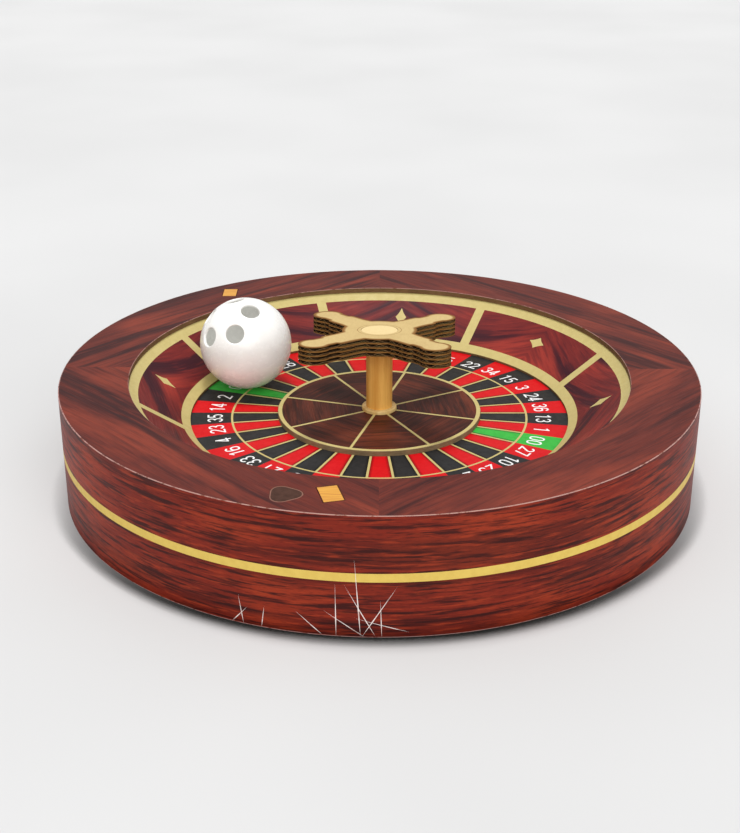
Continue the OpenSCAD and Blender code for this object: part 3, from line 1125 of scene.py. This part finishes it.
# ------------ ball
BALL_MAP = 50.0
HOLE_LIP = 0.55
SEAM_LIP = 0.015


def turned(tilt, turn):
    return Matrix.Rotation(math.radians(turn), 3, "Z") @ Matrix.Rotation(math.radians(tilt), 3, "Y")


def on_map(direction):
    """Spreads a half sphere on a plane so that circles stay circles."""
    return Vector((direction.x, direction.y)) * (BALL_MAP / (1 + direction.z))


def off_map(x, y):
    x, y = x / BALL_MAP, y / BALL_MAP
    d = x * x + y * y
    return Vector((2 * x, 2 * y, 1 - d)) / (1 + d)


def ring_about(axis_turn, angle, steps):
    out = turned(angle, 0) @ Vector((0, 0, 1))
    spins = (Matrix.Rotation(2 * math.pi * k / steps, 3, "Z") for k in range(steps))
    return [on_map(axis_turn @ (spin @ out)) for spin in spins]


def make_ball_half(name, node, side):
    """One half of the ball. side is 1 for the half that holds the pole and the holes."""
    pole = turned(90 - BALL_POLE_UP, BALL_POLE_TURN)
    if side < 0:
        pole = pole @ Matrix.Rotation(math.pi, 3, "X")
    hole_angle = math.degrees(math.asin(BALL_HOLE_R / BALL_R))
    hole_turns = [BALL_ROLL + 360 / BALL_HOLES * k for k in range(BALL_HOLES if side > 0 else 0)]
    axes = [turned(BALL_HOLE_TILT, turn) for turn in hole_turns]
    centres = [axis @ Vector((0, 0, 1)) for axis in axes]
    lip_angle = math.degrees(HOLE_LIP / BALL_R)
    ink = Ink(BALL)
    sheet = Sheet()
    sheet.paint(circle(BALL_MAP, 120), ink)
    step = 3.0
    for k in range(1, int(90 / step)):
        away = k * step
        count = max(6, round(120 * math.sin(math.radians(away))))
        for j in range(count):
            direction = turned(away, 360.0 * j / count) @ Vector((0, 0, 1))
            near = min((math.degrees(direction.angle(c)) for c in centres), default=180)
            if near > hole_angle + lip_angle + 1.0:
                sheet.guides.append(on_map(direction))
    sheet.guides += circle(BALL_MAP * 0.995, 120)
    for axis in axes:
        for part in (1.0, 0.6, 0.3, 0.1):
            sheet.paint(ring_about(axis, hole_angle + lip_angle * part, 60), ink)
        sheet.paint(ring_about(axis, hole_angle, 60), None)

    def surface(outer):
        """One side of the wall, rounded off at the holes and, outside, a little low at the seam."""
        def at(x, y):
            direction = off_map(x, y)
            radius = BALL_R - 0.01 if outer else BALL_R - BALL_WALL
            near = min((math.degrees(direction.angle(c)) for c in centres), default=180)
            d = math.radians(near - hole_angle) * BALL_R
            if d < HOLE_LIP:
                drop = HOLE_LIP - math.sqrt(max(0.0, HOLE_LIP ** 2 - (HOLE_LIP - max(d, 0.0)) ** 2))
                radius += -drop if outer else drop * 0.5
            if outer and math.hypot(x, y) > BALL_MAP * 0.999:
                radius -= SEAM_LIP
            return BALL_CENTRE + pole @ direction * radius
        return at

    piece = Piece()
    sheet.add_to(piece, surface(True), surface(False), ink, Ink(BALL_INSIDE))
    piece.obj(name, "ball", node, sharp=60.0)


# ------------ CAD nodes that keep their shape
def dress(node, material):
    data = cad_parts[node].data
    data.materials.clear()
    data.materials.append(material)


def dress_nodes():
    for node in ["base_board", "wall_hoop", "inner_hoop", "rotor_hub"] + [f"rib_{k}" for k in range(1, 9)]:
        dress(node, KRAFT)
    dress("bearing_block", COLLAR)
    dress("bearing_bush", BUSH)
    dress("thrust_washer", BUSH)
    dress("spindle", DOWEL)


make_sleeve()
make_rim()
make_rim_details()
make_bowl()
make_deck()
make_disc()
make_collar()
make_handle()
make_ball_half("ball_top", "ball_shell_top", 1)
make_ball_half("ball_bottom", "ball_shell_bottom", -1)
dress_nodes()


# ------------ floor, light and camera
def make_stage():
    half_m = 6.0
    data = bpy.data.meshes.new("floor")
    corners = [(-half_m, -half_m, 0), (half_m, -half_m, 0), (half_m, half_m, 0), (-half_m, half_m, 0)]
    data.from_pydata(corners, [], [(0, 1, 2, 3)])
    data.materials.append(FLOOR)
    floor = bpy.data.objects.new("floor", data)
    bpy.context.scene.collection.objects.link(floor)


def sun(name, strength, spread, azimuth, height):
    light = bpy.data.lights.new(name, "SUN")
    light.energy = strength
    light.angle = math.radians(spread)
    lamp = bpy.data.objects.new(name, light)
    a, h = math.radians(azimuth), math.radians(height)
    towards = Vector((math.cos(a) * math.cos(h), math.sin(a) * math.cos(h), math.sin(h)))
    lamp.rotation_euler = towards.to_track_quat("Z", "Y").to_euler()
    bpy.context.scene.collection.objects.link(lamp)


def make_light():
    world = bpy.data.worlds.new("studio")
    world.use_nodes = True
    world.node_tree.nodes["Background"].inputs["Color"].default_value = (1, 1, 1, 1)
    world.node_tree.nodes["Background"].inputs["Strength"].default_value = 0.58
    bpy.context.scene.world = world
    sun("key", 1.5, 12, 100, 82)
    sun("fill", 1.7, 60, 280, 36)


def make_camera():
    place_m = (0.0, -0.74388, 0.36476)
    data = bpy.data.cameras.new("camera")
    data.lens = 60.71
    data.sensor_width = 36.0
    data.sensor_fit = "AUTO"
    data.clip_start = 50 * MM
    camera = bpy.data.objects.new("camera", data)
    pitch, yaw, roll = (math.radians(a) for a in (23.9508, -0.40966, 0.04297))
    forward = Vector((math.sin(yaw) * math.cos(pitch), math.cos(yaw) * math.cos(pitch), -math.sin(pitch)))
    level = Vector((math.cos(yaw), -math.sin(yaw), 0.0))
    upright = level.cross(forward)
    right = level * math.cos(roll) + upright * math.sin(roll)
    up = upright * math.cos(roll) - level * math.sin(roll)
    turn = Matrix((right, up, -forward)).transposed()
    camera.matrix_world = Matrix.Translation(place_m) @ turn.to_4x4()
    bpy.context.scene.collection.objects.link(camera)
    bpy.context.scene.camera = camera


make_stage()
make_light()
make_camera()
bpy.context.scene.view_settings.view_transform = "Standard"
